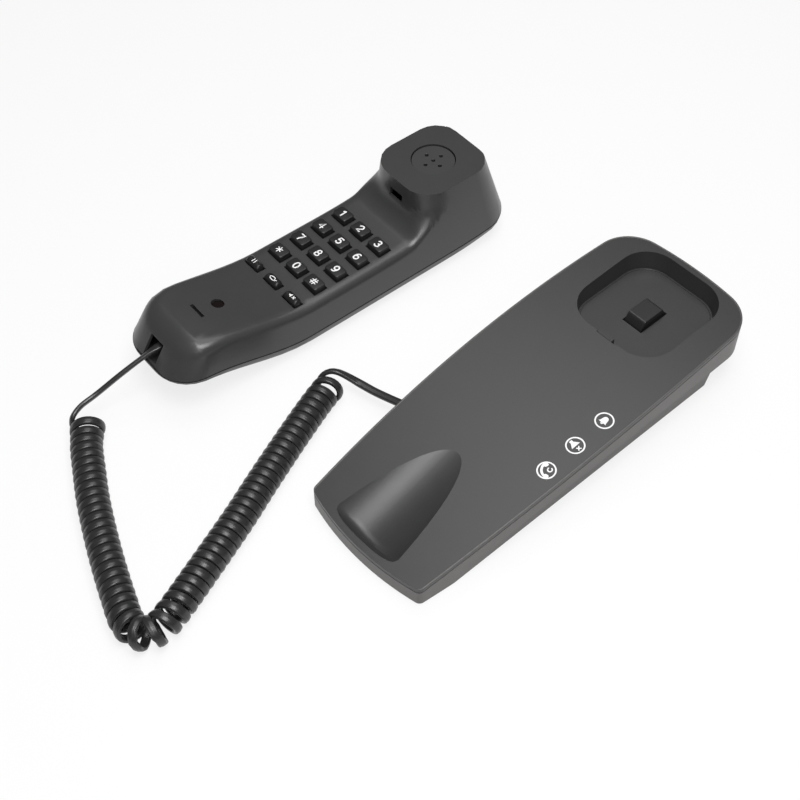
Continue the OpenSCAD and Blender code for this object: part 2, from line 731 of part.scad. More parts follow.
// Distance outside the front shell's skin, for a skin inset by g
function front_d(x, y, z, g) = let (
    s = round_out(z - face_z(y), ear_near - 1 + (z - 14) / 36 - y, ear_sweep),
    q = round_in(tub_d(x, y, z), s, max(edge_at(y, z) - 1.6 * g, 1)))
    max(q, z - ear_h - 4) + g;
// Last point inside the skin on the way from p along d, between the lengths a and b
function reach(p, d, g, a, b, n) = n == 0 ? (a + b) / 2 :
    let (c = (a + b) / 2, q = p + c * d)
    front_d(q[0], q[1], q[2], g) < 0 ? reach(p, d, g, c, b, n - 1) : reach(p, d, g, a, c, n - 1);
function spread(u) = 1 - pow(1 - u, 1.6);
// Sections along the handset as [y at the seam, lean], closer where its form turns
function leaning(a, b, n, u, v) =
    [for (i = [0 : n - 1]) [a + (b - a) * i / n, u + (v - u) * i / n]];
function front_secs(g) = let (a = lv_a(seam_h + seam_rise) + g + 0.5, b = hs_far - g - 0.5,
    k = g > 0 ? 0.5 : 1, p = ear_near - 1, q = ear_near + 24, r = ear_far + 2)
    concat(leaning(a, a + 2.4, 3 * k, 0, 0), leaning(a + 2.4, -90, 7 * k, 0, 0),
        leaning(-90, 18, 16 * k, 0, 0), leaning(18, p, 12 * k, 0, -0.55),
        leaning(p, q, 16 * k, -0.55, -0.55), leaning(q, r, 12 * k, -0.55, 0),
        leaning(r, b - 2, 8 * k, 0, 0), leaning(b - 2, b, 3 * k, 0, 0), [[b, 0]]);
// One section: from the right seam over the top to the left seam, h points to a side
function front_pts(g, h) = [for (f = front_secs(g))
    let (c = [0, f[0], seam_z(f[0])], w = out_w(f[0], c[2], g), m = f[1],
         up = [0, m, 1] / norm([0, m, 1]), t = reach(c, up, g, 0, 60, 16) * up[2],
         low = [0, 0, -5])
    each concat(g > 0 ? [c + [w, 0, 0] + low] : [],
        [for (k = [0 : 2 * h]) let (u = k <= h ? k / h : 2 - k / h, v = 2 * u,
            x = (u <= 0.5 ? w : w * spread(2 - v)) * (k <= h ? 1 : -1),
            z = u <= 0.5 ? t * spread(v) : t, d = [x, m * z, z] / norm([x, m * z, z]))
            c + d * reach(c, d, g, 0, 70, 16)],
        g > 0 ? [c - [w, 0, 0] + low] : [])];
module front_space(g, h) {
    intersection() {
        skin(front_pts(g, h), len(front_secs(g)) - 1, 2 * h + (g > 0 ? 3 : 1));
        translate([-60, -120, 0]) cube([120, 240, ear_h - g]);
    }
}

key_ys = [for (j = [0 : 3]) key_row1 - j * key_py];
function key_floor(y, l) = min(face_z(y - l / 2 - 1), face_z(y + l / 2 + 1)) - hs_wall - 0.2;
function key_low(y, l) = key_floor(y, l) - key_flange;
hs_board_z = 18;
membrane_z = hs_board_z + pcb_t;
membrane_t = 0.9;
hs_board_half = 21.8;
hs_board_near = -42;
hs_board_far = 28;
peg_x = 20.6;
peg_ys = [key_row1 - 0.5 * key_py, key_row1 - 2.5 * key_py];
hs_screw_ys = [-52, 38];
hs_post_z = [15.5, 12];
hs_screw_l = 9;
ear_mid = (ear_near + ear_far) / 2 + 0.4;
ear_in = ear_h - hs_wall;
speaker_top = ear_in - disc_t + hs_wall - 1.6;
disc_low = ear_h - disc_sink - disc_t;
hs_jack_y = -98.6;
hs_jack_z = 28.6;
catch_w = 9.4;
catch_h = 5.5;

module handset_front_shell() {
    color([0.27, 0.27, 0.28]) at_handset() difference() {
        union() {
            difference() {
                front_space(0, 16);
                front_space(hs_wall, 8);
            }
            intersection() {
                union() {
                    for (i = [0, 1])
                        translate([0, hs_screw_ys[i], hs_post_z[i]]) cylinder(r = post_r, h = 30);
                    for (x = [-1, 1], y = peg_ys) {
                        translate([x * peg_x, y, membrane_z + membrane_t]) cylinder(r = 1.9, h = 20);
                        translate([x * peg_x, y, hs_board_z - 1]) cylinder(r = 1.1, h = 20);
                    }
                    // holders of the microphone and the lamp
                    translate([0, mic_y, face_z(mic_y) - 8]) cylinder(r = mic_r + 1, h = 10);
                    translate([0, lamp_y, face_z(lamp_y) - 6]) cylinder(r = lamp_r + 1.6, h = 8);
                    // housing rails of the jack
                    translate([-jack_w_out / 2 - 1.8, hs_jack_y + 1, hs_jack_z + jack_h_out / 2])
                        cube([jack_w_out + 3.6, 10, 8]);
                }
                front_space(1, 6);
            }
            // ring that holds the speaker
            translate([0, ear_mid, speaker_top - speaker_h + 1]) difference() {
                cylinder(r = speaker_r + 1.8, h = ear_in - speaker_top + speaker_h - 0.5);
                translate([0, 0, -1]) cylinder(r = speaker_r + 0.2, h = 40);
            }
        }
        // key windows
        for (j = [0 : 3], i = [-1 : 1])
            translate([i * key_px - key_w / 2 - key_gap, key_ys[j] - key_l / 2 - key_gap, 22])
                cube([key_w + 2 * key_gap, key_l + 2 * key_gap, 12]);
        for (i = [-1 : 1])
            translate([i * fkey_px - key_w / 2 - key_gap, fkey_y - fkey_l / 2 - key_gap, 22])
                cube([key_w + 2 * key_gap, fkey_l + 2 * key_gap, 12]);
        // earpiece opening
        translate([0, ear_mid, ear_in - 3]) cylinder(r = disc_r + disc_gap, h = 8);
        // microphone slot, capsule seat and lamp hole
        translate([-mic_slot_w / 2, mic_y - mic_slot_t / 2, 20])
            cube([mic_slot_w, mic_slot_t, 30]);
        translate([0, mic_y, face_z(mic_y) - 20]) cylinder(r = mic_r + 0.15, h = 20 - hs_wall - 0.4);
        translate([0, lamp_y, 20]) cylinder(r = lamp_r + 0.15, h = 30);
        // catch for the wall hook in the ear block's inner wall
        translate([-catch_w / 2, ear_near - 3, ear_h - 7.5 - catch_h])
            cube([catch_w, 6, catch_h]);
        // jack opening in the mouth end
        translate([-jack_w_out / 2 + 0.6, hs_near - 12, hs_jack_z - jack_h_out / 2 - 3])
            cube([jack_w_out - 1.2, hs_jack_y - hs_near + 12.1, jack_h_out + 3]);
        for (i = [0, 1])
            translate([0, hs_screw_ys[i], hs_post_z[i] - 1]) cylinder(d = screw_d, h = 9);
    }
}

// Closed skin through D-shaped sections of the back shell, inset by g
back_n = 34;
back_m = 16;
back_a = lv_a(seam_h + seam_rise) + 0.2;
back_b = 102.6;
function back_y(i, g) = let (a = back_a + g, b = back_b - g)
    (a + b) / 2 - (b - a) / 2 * cos(180 * i / back_n);
function end_fade(y) = pow(max(0, 1 - pow(abs((y - (back_a + back_b) / 2) / ((back_b - back_a) / 2 + 1.2)), 7)), 0.5);
function back_pt(y, k, g) = let (zs = seam_z(y) - seam_gap, w = out_w(y, seam_z(y), g),
    d = max(0.8, belly(y) * end_fade(y) - seam_gap - g), c = cos(180 * k / back_m),
    s = sin(180 * k / back_m))
    [-w * sign(c) * pow(abs(c), 0.72), y, zs - d * pow(abs(s), 0.72) + (g > 0 && s == 0 ? 2 : 0)];
function back_pts(g) = [for (i = [0 : back_n], k = [0 : back_m]) back_pt(back_y(i, g), k, g)];
module skin(pts, n, m) {
    // n + 1 sections of m points each
    polyhedron(pts, concat(
        [for (i = [0 : n - 1], k = [0 : m - 1]) let (a = i * m + k, b = i * m + (k + 1) % m)
            [a, b, b + m, a + m]],
        [[for (k = [m - 1 : -1 : 0]) k]],
        [[for (k = [0 : m - 1]) n * m + k]]), convexity = 6);
}
module back_space(g) { skin(back_pts(g), back_n, back_m + 1); }

module handset_back_shell() {
    color([0.3, 0.3, 0.31]) at_handset() difference() {
        union() {
            difference() { back_space(0); back_space(hs_wall); }
            for (i = [0, 1]) {
                translate([0, hs_screw_ys[i], seam_z(hs_screw_ys[i]) - belly(hs_screw_ys[i]) + 1])
                    cylinder(r = boss_r, h = hs_post_z[i] - 1
                             - seam_z(hs_screw_ys[i]) + belly(hs_screw_ys[i]));
            }
        }
        for (i = [0, 1]) translate([0, hs_screw_ys[i], -1]) {
            cylinder(d = screw_head_d + 2 * screw_gap, h = 1 + hs_post_z[i] - 5);
            cylinder(d = screw_d + 2 * screw_gap, h = hs_post_z[i] + 3);
        }
    }
}

module handset_screws() {
    color([0.6, 0.6, 0.62]) at_handset() for (i = [0, 1])
        translate([0, hs_screw_ys[i], hs_post_z[i] - 5 - screw_head_h])
            screw(hs_screw_l + screw_head_h);
}

module earpiece_disc() {
    color([0.2, 0.2, 0.21]) at_handset() translate([0, ear_mid, disc_low]) difference() {
        cylinder(r = disc_r, h = disc_t);
        translate([0, 0, -1]) {
            cylinder(r = ear_hole_r, h = 9);
            for (a = [0 : 90 : 270])
                rotate([0, 0, a]) translate([ear_hole_at, 0, 0]) cylinder(r = ear_hole_r, h = 9);
        }
    }
}

module earpiece_speaker() {
    color([0.15, 0.15, 0.16]) at_handset() translate([0, ear_mid, speaker_top - speaker_h]) {
        difference() {
            translate([0, 0, 3]) cylinder(r = speaker_r, h = speaker_h - 3);
            translate([0, 0, speaker_h - 0.8]) cylinder(r = speaker_r - 1.5, h = 2);
        }
        cylinder(r = 8, h = 3.5);
        // rim that carries the disc
        translate([0, 0, speaker_h - eps]) difference() {
            cylinder(r = disc_r - 0.4, h = disc_low - speaker_top + eps);
            translate([0, 0, -1]) cylinder(r = disc_r - 1.6, h = 5);
        }
    }
}

module microphone() {
    color([0.1, 0.1, 0.1]) at_handset() translate([0, mic_y, face_z(mic_y) - hs_wall - 5.6])
        cylinder(r = mic_r, h = 5);
}

module lamp() {
    top = min(face_z(lamp_y + lamp_r), face_z(lamp_y - lamp_r));
    color([0.3, 0.02, 0.02]) at_handset() translate([0, lamp_y, top - 6]) {
        cylinder(r = lamp_r, h = 5.4);
        translate([-1.2, -0.2, -4]) cube([0.4, 0.4, 4.5]);
        translate([0.8, -0.2, -4]) cube([0.4, 0.4, 4.5]);
    }
}

module keypad_membrane() {
    color([0.12, 0.12, 0.13]) at_handset() difference() {
        union() {
            translate([-hs_board_half, hs_board_near, membrane_z])
                cube([2 * hs_board_half, hs_board_far - hs_board_near, membrane_t]);
            for (y = key_ys, i = [-1 : 1])
                translate([i * key_px, y, membrane_z])
                    cylinder(r = 3.2, h = key_low(y, key_l) - key_travel - 0.3 - membrane_z);
            for (i = [-1 : 1])
                translate([i * fkey_px, fkey_y, membrane_z])
                    cylinder(r = 3.2, h = key_low(fkey_y, fkey_l) - key_travel - 0.3 - membrane_z);
        }
        for (x = [-1, 1], y = peg_ys)
            translate([x * peg_x, y, membrane_z - 1]) cylinder(r = 1.3, h = 3);
    }
}
module keypad_board() {
    color([0.16, 0.35, 0.2]) at_handset() difference() {
        translate([-hs_board_half, hs_board_near, hs_board_z])
            cube([2 * hs_board_half, hs_board_far - hs_board_near, pcb_t]);
        for (x = [-1, 1], y = peg_ys)
            translate([x * peg_x, y, hs_board_z - 1]) cylinder(r = 1.3, h = 4);
    }
}
module handset_weight() {
    q = hs_half_w / 27;
    color([0.55, 0.56, 0.58]) at_handset() translate([-10 * q, -28 * q, hs_wall + 0.4])
        cube([20 * q, 56 * q, 6 * q]);
}
module handset_jack() {
    color([0.12, 0.12, 0.13]) at_handset() translate([0, hs_jack_y, hs_jack_z]) jack_block();
}
module plug_handset() {
    color([0.14, 0.14, 0.15]) at_handset() translate([0, hs_jack_y, hs_jack_z]) plug_body();
}

// One key: l is its length, hump rounds its top across
module key(x, y, l, hump) {
    low = key_low(y, l);
    foot = face_z(y) + 0.3;
    top = face_z(y) + key_rise;
    color([0.13, 0.13, 0.14]) at_handset() translate([x, y, 0]) {
        translate([-key_w / 2 - 0.8, -l / 2 - 0.8, low]) cube([key_w + 1.6, l + 1.6, key_flange]);
        translate([-key_w / 2, -l / 2, low]) cube([key_w, l, foot - low]);
        intersection() {
            rotate([90, 0, 0]) linear_extrude(l, center = true) polygon([
                [-key_w / 2, foot - eps], [key_w / 2, foot - eps],
                [key_w / 2 - key_taper, top], [-key_w / 2 + key_taper, top]]);
            if (hump)
                intersection() {
                    across(key_w) translate([0, top - l / 2 - 0.4]) circle(l / 2 + 0.4);
                    across(key_w) translate([-l / 2, foot - eps]) square([l, top - foot + eps]);
                }
            else
                across(key_w) polygon([
                    [-l / 2, foot - eps], [l / 2, foot - eps],
                    [l / 2 - key_taper, top], [-l / 2 + key_taper, top]]);
        }
    }
}
module digit(i, j) { key((i - 1) * key_px, key_ys[j], key_l, false); }
module key_1() { digit(0, 0); }
module key_2() { digit(1, 0); }
module key_3() { digit(2, 0); }
module key_4() { digit(0, 1); }
module key_5() { digit(1, 1); }
module key_6() { digit(2, 1); }
module key_7() { digit(0, 2); }
module key_8() { digit(1, 2); }
module key_9() { digit(2, 2); }
module key_star() { digit(0, 3); }
module key_0() { digit(1, 3); }
module key_hash() { digit(2, 3); }
module key_hold() { key(-fkey_px, fkey_y, fkey_l, true); }
module key_redial() { key(0, fkey_y, fkey_l, true); }
module key_mute() { key(fkey_px, fkey_y, fkey_l, true); }

// ---- cord ----
// A place on the handset or on the base, in the shared frame
function on_handset(p) = handset_at + [
    p[0] * cos(handset_yaw) - p[1] * sin(handset_yaw),
    p[0] * sin(handset_yaw) + p[1] * cos(handset_yaw), p[2]];
lead_h_start = on_handset([0, hs_jack_y - plug_tail, hs_jack_z]);
lead_h_out = on_handset([0, hs_jack_y - plug_tail - 3, hs_jack_z]);
lead_b_end = base_at + [jack_face_x - plug_tail, jack_y, jack_z];
// Routes of the straight leads
lead_h_pts = [lead_h_start, lead_h_out, [-78.5, -115, 27], [-81, -129, 21.5],
    [-83.4, -142, 15.5], [-82.8, -151, 13.2], [-79.6, -155.4, 12.6]];
lead_b_pts = [[-19.3, -44.2, 12], [-12, -43.2, 10.4], [-3, -41, 9.6], [7, -38.2, 9.6],
    [15, -36.2, 10.4], lead_b_end - [3, 0, 0], lead_b_end];
// Axis of the coil: an arm from the handset, a bend, an arm to the base
coil_pts = [[-77, -153, 8.2], [-66.5, -161, 7.9], [-54, -168, 7.9], [-40, -175.5, 7.9],
    [-26, -182, 7.9], [-12, -188, 7.9], [2, -193.5, 7.9], [13, -197.5, 7.9],
    [22, -200.5, 7.9], [30.5, -200.5, 7.9], [34.5, -194, 7.9], [32.5, -184, 7.9],
    [25.5, -165, 7.9], [19, -148, 7.9], [12.5, -131.5, 7.9], [5, -114, 7.9],
    [-2, -97, 7.9], [-9, -79.5, 7.9], [-15.5, -62, 7.9], [-20, -46.5, 7.9]];

// Smooth points along a route, n to a stretch
function spline(p, n) = [for (i = [0 : len(p) - 2], j = [0 : n - 1 + (i == len(p) - 2 ? 1 : 0)])
    let (t = j / n, a = p[max(i - 1, 0)], b = p[i], c = p[i + 1], d = p[min(i + 2, len(p) - 1)])
    0.5 * ((2 * b) + (c - a) * t + (2 * a - 5 * b + 4 * c - d) * t * t
           + (3 * b - a - 3 * c + d) * t * t * t)];
function unit(v) = v / norm(v);
// Tube of radius r with m sides along the points p, from point a to point b
module tube(p, r, m, a = 0, b = -1) {
    last = len(p) - 1;
    z = b < 0 ? last : b;
    skin([for (i = [a : z], k = [0 : m - 1])
        let (t = unit(p[min(i + 1, last)] - p[max(i - 1, 0)]), u = unit(cross([0, 0, 1], t)),
             v = cross(t, u), q = -360 * k / m)
        p[i] + r * (cos(q) * u + sin(q) * v)], z - a, m);
}
lead_h = spline(lead_h_pts, 3);
lead_b = spline(lead_b_pts, 3);
coil = spline(coil_pts, 2);
// Places along the coil where its bend starts and ends
bend_from = 14;
bend_to = 22;
module lead(p) { color([0.16, 0.16, 0.17]) tube(p, cord_d / 2, 8); }
module curl(a, b) { color([0.16, 0.16, 0.17]) tube(coil, coil_d / 2, 12, a, b); }
module cord_lead_handset() { lead(lead_h); }
module cord_lead_base() { lead(lead_b); }
module coil_arm_handset() { curl(0, bend_from); }
module coil_bend() { curl(bend_from, bend_to); }
module coil_arm_base() { curl(bend_to, len(coil) - 1); }

base_top_cover();
base_bottom_shell();
base_feet();
base_screws();
base_board();
base_components();
hook_plunger();
hook_spring();
hook_switch();
ringer_capsule();
line_jack();
base_handset_jack();
ringer_switch();
ringer_slider();
wall_hook();
handset_front_shell();
handset_back_shell();
handset_screws();
earpiece_disc();
earpiece_speaker();
microphone();
lamp();
keypad_membrane();
keypad_board();
handset_weight();
handset_jack();
key_1();
key_2();
key_3();
key_4();
key_5();
key_6();
key_7();
key_8();
key_9();
key_star();
key_0();
key_hash();
key_hold();
key_redial();
key_mute();
plug_handset();
plug_base();
cord_lead_handset();
coil_arm_handset();
coil_bend();
coil_arm_base();
cord_lead_base();
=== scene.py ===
import json
import math

import bmesh
import bpy
from mathutils import Matrix, Vector


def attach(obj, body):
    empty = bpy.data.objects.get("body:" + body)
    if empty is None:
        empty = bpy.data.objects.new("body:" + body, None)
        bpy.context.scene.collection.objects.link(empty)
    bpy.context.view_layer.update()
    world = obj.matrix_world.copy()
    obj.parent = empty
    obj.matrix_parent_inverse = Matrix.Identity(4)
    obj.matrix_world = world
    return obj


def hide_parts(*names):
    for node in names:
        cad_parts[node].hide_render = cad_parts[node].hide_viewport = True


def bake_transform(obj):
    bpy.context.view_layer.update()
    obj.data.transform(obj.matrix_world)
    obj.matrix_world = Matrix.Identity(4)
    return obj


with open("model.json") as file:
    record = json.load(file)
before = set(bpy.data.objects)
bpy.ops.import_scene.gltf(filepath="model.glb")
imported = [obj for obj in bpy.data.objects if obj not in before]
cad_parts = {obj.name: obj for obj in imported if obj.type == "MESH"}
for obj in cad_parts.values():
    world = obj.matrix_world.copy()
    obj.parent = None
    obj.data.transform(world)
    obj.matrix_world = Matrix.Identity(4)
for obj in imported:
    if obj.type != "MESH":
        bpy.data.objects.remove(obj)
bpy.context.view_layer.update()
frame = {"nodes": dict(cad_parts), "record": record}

# ---- places of the two units; plain sizes are in millimetres ----
MM = 0.001
UP = Vector((0, 0, 1))
BASE_AT = Vector((61, 5.5, 0))
HANDSET_AT = Vector((-73, -6.5, 0))
HANDSET_YAW = -2.5
ROW = Matrix.Scale(MM, 4)
BASE = Matrix.Translation(BASE_AT * MM) @ ROW
HANDSET = (
    Matrix.Translation(HANDSET_AT * MM)
    @ Matrix.Rotation(math.radians(HANDSET_YAW), 4, "Z")
    @ ROW
)

# ---- sizes that several pieces share ----
CROWN_R = 1020
CROWN_Y = 106
CROWN_Z = 34
ON_CROWN = 0.05
EAR_TOP = 50
DISC_Y = 67.9
DISC_OPENING = 14
KEYS = ["1", "2", "3", "4", "5", "6", "7", "8", "9", "star", "0", "hash"]
KEY_PITCH = (14.3, 13.5)
KEY_FIRST_Y = 20
KEY_HALF_W = 5.2
KEY_HALF_L = 3.7
KEY_RISE = 3.0
FUNCTION_KEYS = ("hold", "redial", "mute")
FUNCTION_PITCH = 15.5
FUNCTION_Y = -35
FUNCTION_HALF_L = 2.4


# ---- finishes ----
class Wire:
    """One output socket of a finish's nodes, with arithmetic on it."""

    def __init__(self, finish, socket):
        self.finish, self.socket = finish, socket

    def maths(self, operation, *values):
        return self.finish.add(
            "ShaderNodeMath", {"operation": operation}, dict(enumerate(values))
        )

    def __add__(self, other):
        return self.maths("ADD", self, other)

    def __sub__(self, other):
        return self.maths("SUBTRACT", self, other)

    def __rsub__(self, other):
        return self.maths("SUBTRACT", other, self)

    def __mul__(self, other):
        return self.maths("MULTIPLY", self, other)

    __radd__ = __add__
    __rmul__ = __mul__


class Finish:
    """A material: its principled shader, and the nodes that vary it."""

    def __init__(self, name, **constants):
        self.material = bpy.data.materials.new(name)
        self.material.use_nodes = True
        self.tree = self.material.node_tree
        self.shader = self.tree.nodes["Principled BSDF"]
        for socket, value in constants.items():
            self.shader.inputs[socket.replace("_", " ")].default_value = value

    def plug(self, socket, value):
        if isinstance(value, Wire):
            self.tree.links.new(value.socket, socket)
        else:
            socket.default_value = value

    def add(self, kind, settings=None, inputs=None, output=0):
        node = self.tree.nodes.new(kind)
        for key, value in (settings or {}).items():
            setattr(node, key, value)
        for key, value in (inputs or {}).items():
            self.plug(node.inputs[key], value)
        return Wire(self, node.outputs[output])

    def place(self):
        return self.add("ShaderNodeTexCoord", output="Object")

    def noise(self, size, detail=2.0, rough=0.5):
        """Noise from 0 to 1 with features of about size millimetres."""
        return self.add(
            "ShaderNodeTexNoise",
            {},
            {
                "Vector": self.place(),
                "Scale": 1 / (size * MM),
                "Detail": detail,
                "Roughness": rough,
            },
        )

    def blend(self, factor, low, high):
        """A colour between two, by factor."""
        return self.add(
            "ShaderNodeMix",
            {"data_type": "RGBA"},
            {0: factor, 6: low, 7: high},
            output=2,
        )

    def feed(self, **inputs):
        for socket, value in inputs.items():
            self.plug(self.shader.inputs[socket.replace("_", " ")], value)

    def bump(self, height, deep):
        """Relief of a height from 0 to 1, deep millimetres from low to high."""
        self.feed(
            Normal=self.add(
                "ShaderNodeBump",
                {},
                {"Strength": 1.0, "Distance": deep * MM, "Height": height},
                output="Normal",
            )
        )


def grey(level, warm=0.0):
    return (level * (1 + warm), level, level * (1 - warm * 0.6), 1.0)


def moulded(name, level, rough, grain, deep, mottle=0.06, spread=0.03, warm=0.0):
    """Moulded charcoal plastic: a fine grain, a faint mottle and uneven gloss."""
    f = Finish(name)
    broad = f.noise(9, 3, 0.55)
    fine = f.noise(grain, 3, 0.6)
    tone = broad * 0.5 + fine * 0.5
    f.feed(
        Base_Color=f.blend(
            tone, grey(level * (1 - mottle), warm), grey(level * (1 + mottle), warm)
        ),
        Roughness=rough + (broad - 0.5) * spread * 2 + (fine - 0.5) * spread,
    )
    f.bump(fine * 0.75 + f.noise(grain * 2.6, 2) * 0.25, deep)
    return f


top_plastic = moulded("grained_charcoal", 0.034, 0.4, 0.42, 0.035)
# The base's bottom shell is a lighter grey than its top: partly its own satin tone, partly
# painted light that its sides catch from the floor and the key lamp.
lit_side_plastic = moulded("satin_charcoal_lit", 0.095, 0.42, 0.5, 0.012, warm=0.06)
handset_plastic = moulded("handset_charcoal", 0.042, 0.3, 0.36, 0.01)
disc_plastic = moulded("earpiece_charcoal", 0.04, 0.38, 0.3, 0.012)
key_plastic = moulded("key_black", 0.012, 0.36, 0.3, 0.006)
plunger_plastic = moulded("plunger_black", 0.02, 0.3, 0.3, 0.006)
jack_plastic = moulded("jack_black", 0.01, 0.28, 0.4, 0.004)
foot_rubber = moulded("foot_rubber", 0.015, 0.8, 0.5, 0.05)
cord_skin = moulded("cord_sheath", 0.022, 0.32, 0.7, 0.012)
board_green = moulded("board_green", 0.03, 0.35, 0.5, 0.004)
ink = Finish("white_print", Roughness=0.5)
ink.feed(Base_Color=ink.blend(ink.noise(0.4, 2), grey(0.72), grey(0.86)))
lamp_red = Finish("lamp_red", Roughness=0.5, Specular_IOR_Level=0.12)
lamp_red.feed(
    Base_Color=lamp_red.blend(
        lamp_red.noise(1.2, 2), (0.003, 0.001, 0.001, 1), (0.006, 0.002, 0.002, 1)
    )
)
steel = Finish("zinc_steel", Metallic=1.0)
steel.feed(
    Base_Color=steel.blend(steel.noise(0.8, 3), grey(0.42), grey(0.58)),
    Roughness=0.3 + steel.noise(0.3, 2) * 0.15,
)
# Near-black finish that paints shade: the painted shadow in the handset's parting gap, and the
# hidden parts inside the housings.
shadow_black = moulded("painted_shadow_black", 0.006, 0.9, 0.5, 0.01)


# ---- making pieces ----
SHARP_ANGLE = 35
FLAT_ANGLE = 0.1
BEVEL_ANGLE = 30
MERGE = 4e-6


def ease(t):
    """A smooth step from 0 to 1."""
    t = min(max(t, 0), 1)
    return t * t * (3 - 2 * t)


def link(name, data):
    """A new object in the scene, at the origin."""
    made = bpy.data.objects.new(name, data)
    bpy.context.scene.collection.objects.link(made)
    return made


def smooth(mesh):
    for face in mesh.polygons:
        face.use_smooth = True
    mesh.set_sharp_from_angle(angle=math.radians(SHARP_ANGLE))


def skin(bm, rings, closed=False):
    """Faces from ring to ring, capped at both ends or closed on themselves."""
    count = len(rings[0])
    for one, two in zip(rings, rings[1:] + (rings[:1] if closed else [])):
        for j in range(count):
            k = (j + 1) % count
            bm.faces.new((one[j], one[k], two[k], two[j]))
    if not closed:
        bm.faces.new(list(reversed(rings[0])))
        bm.faces.new(rings[-1])


def piece(bm, name, where, finish, body, stands_for=(), turn=False):
    """Makes a finished piece of a bmesh, placed by where, on its body."""
    if turn:
        bmesh.ops.recalc_face_normals(bm, faces=bm.faces)
    bm.transform(where)
    mesh = bpy.data.meshes.new(name)
    bm.to_mesh(mesh)
    bm.free()
    smooth(mesh)
    made = link(name, mesh)
    mesh.materials.append(finish.material)
    if body:
        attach(made, body)
    if stands_for:
        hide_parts(*stands_for)
    return made


def cad_copy(node):
    """The merged mesh of a CAD node, with its flat faces whole again."""
    bm = bmesh.new()
    bm.from_mesh(frame["nodes"][node].data)
    bmesh.ops.remove_doubles(bm, verts=bm.verts, dist=MERGE)
    bmesh.ops.dissolve_limit(
        bm, angle_limit=math.radians(FLAT_ANGLE), verts=bm.verts, edges=bm.edges
    )
    return bm


def round_edges(made, width):
    edge = made.modifiers.new("rounded_edges", "BEVEL")
    edge.width = width * MM
    edge.segments = 3
    edge.limit_method = "ANGLE"
    edge.angle_limit = math.radians(BEVEL_ANGLE)
    edge.use_clamp_overlap = True
    steady = made.modifiers.new("steady_shading", "WEIGHTED_NORMAL")
    steady.keep_sharp = True
    steady.weight = 60


def body_of_node(node):
    bodies = frame["record"]["behaviour"]["bodies"]
    return next(b for b in bodies if node in bodies[b])


def dress(node, finish, edge):
    """A copy of a CAD node with rounded edges and its finish."""
    made = piece(
        cad_copy(node),
        node + "_skin",
        Matrix.Identity(4),
        finish,
        body_of_node(node),
        (node,),
    )
    round_edges(made, edge)
    return made


def top_z(y):
    """Height of the base's crowned top."""
    return CROWN_Z - CROWN_R + math.sqrt(CROWN_R**2 - (y - CROWN_Y) ** 2)


def crisp_crown(mesh):
    """Parts the shading of the crowned top from the recess, the trough and the sides."""
    local = BASE.inverted()
    points = [local @ v.co for v in mesh.vertices]
    level = [abs(p.z - top_z(p.y)) < ON_CROWN for p in points]
    kinds = {}
    for face in mesh.polygons:
        crown = face.normal.z > 0.97 and all(level[v] for v in face.vertices)
        for key in face.edge_keys:
            kinds.setdefault(key, set()).add(crown)
    for edge in mesh.edges:
        if len(kinds[edge.key]) == 2:
            edge.use_edge_sharp = True


def on_ear_rim(*ends):
    """Whether an edge runs round the ear face, outside the earpiece's opening."""
    local = HANDSET.inverted()
    p = [local @ end for end in ends]
    return all(
        q.z > EAR_TOP - ON_CROWN and math.hypot(q.x, q.y - DISC_Y) > DISC_OPENING for q in p
    )


def on_cover_rim(*ends):
    """Whether an edge runs round the outside of the crowned top."""
    local = BASE.inverted()
    p = [local @ end for end in ends]
    level = all(abs(q.z - top_z(q.y)) < ON_CROWN for q in p)
    middle = (p[0] + p[1]) / 2
    in_recess = abs(middle.x) < 29.5 and 42 < middle.y < 107
    in_trough = abs(middle.x) < 31 - (middle.y + 107) * 0.25 and -104.5 < middle.y < -30
    return level and not in_recess and not in_trough


def lip(name, mesh, chosen, radius, sink, finish, body):
    """A rounded lip along the longest run of the chosen sharp edges of a mesh."""
    near = {}
    for e in mesh.edges:
        a, b = e.vertices
        if e.use_edge_sharp and chosen(mesh.vertices[a].co, mesh.vertices[b].co):
            near.setdefault(a, []).append(b)
            near.setdefault(b, []).append(a)
    left, chains = set(near), []
    while left:
        ends = [v for v in sorted(left) if sum(w in left for w in near[v]) < 2]
        at = ends[0] if ends else min(left)
        chain = [at]
        left.discard(at)
        while any(w in left for w in near[at]):
            at = next(w for w in near[at] if w in left)
            chain.append(at)
            left.discard(at)
        chains.append(chain)
    longest = max(chains, key=len)
    closed = longest[0] in near[longest[-1]]
    points = []
    for v in longest:
        p = mesh.vertices[v].co / MM
        if not points or (p - points[-1]).length > 0.3:
            points.append(p)
    middle = sum(points, Vector()) / len(points)
    bm = bmesh.new()
    rings = []
    last = len(points) - 1
    for i, p in enumerate(points):
        after = points[(i + 1) % len(points) if closed else min(i + 1, last)]
        before = points[i - 1 if closed else max(i - 1, 0)]
        t = (after - before).normalized()
        side = t.cross(UP).normalized()
        if side.dot(p - middle) < 0:
            side = -side
        centre = p - side * radius - UP * sink
        rings.append(
            [
                bm.verts.new(
                    centre
                    + side * (radius * math.cos(math.radians(a)))
                    + UP * (radius * math.sin(math.radians(a)))
                )
                for a in range(0, 360, 30)
            ]
        )
    skin(bm, rings, closed)
    piece(bm, name, ROW, finish, body, turn=True)


def paint(node, finish):
    """Gives a CAD node that stays its finish."""
    mesh = frame["nodes"][node].data
    mesh.materials.clear()
    mesh.materials.append(finish.material)


# ---- camera ----
CAMERA_AT = Vector((322.5, -313.7, 530.7))
CAMERA_LOOKS = Vector((-0.4654, 0.4176, -0.7804))
camera = link("camera", bpy.data.cameras.new("camera"))
camera.location = CAMERA_AT * MM
camera.rotation_mode = "QUATERNION"
camera.rotation_quaternion = CAMERA_LOOKS.to_track_quat("-Z", "Y")
camera.data.lens = 63
camera.data.sensor_width = 36
bpy.context.scene.camera = camera


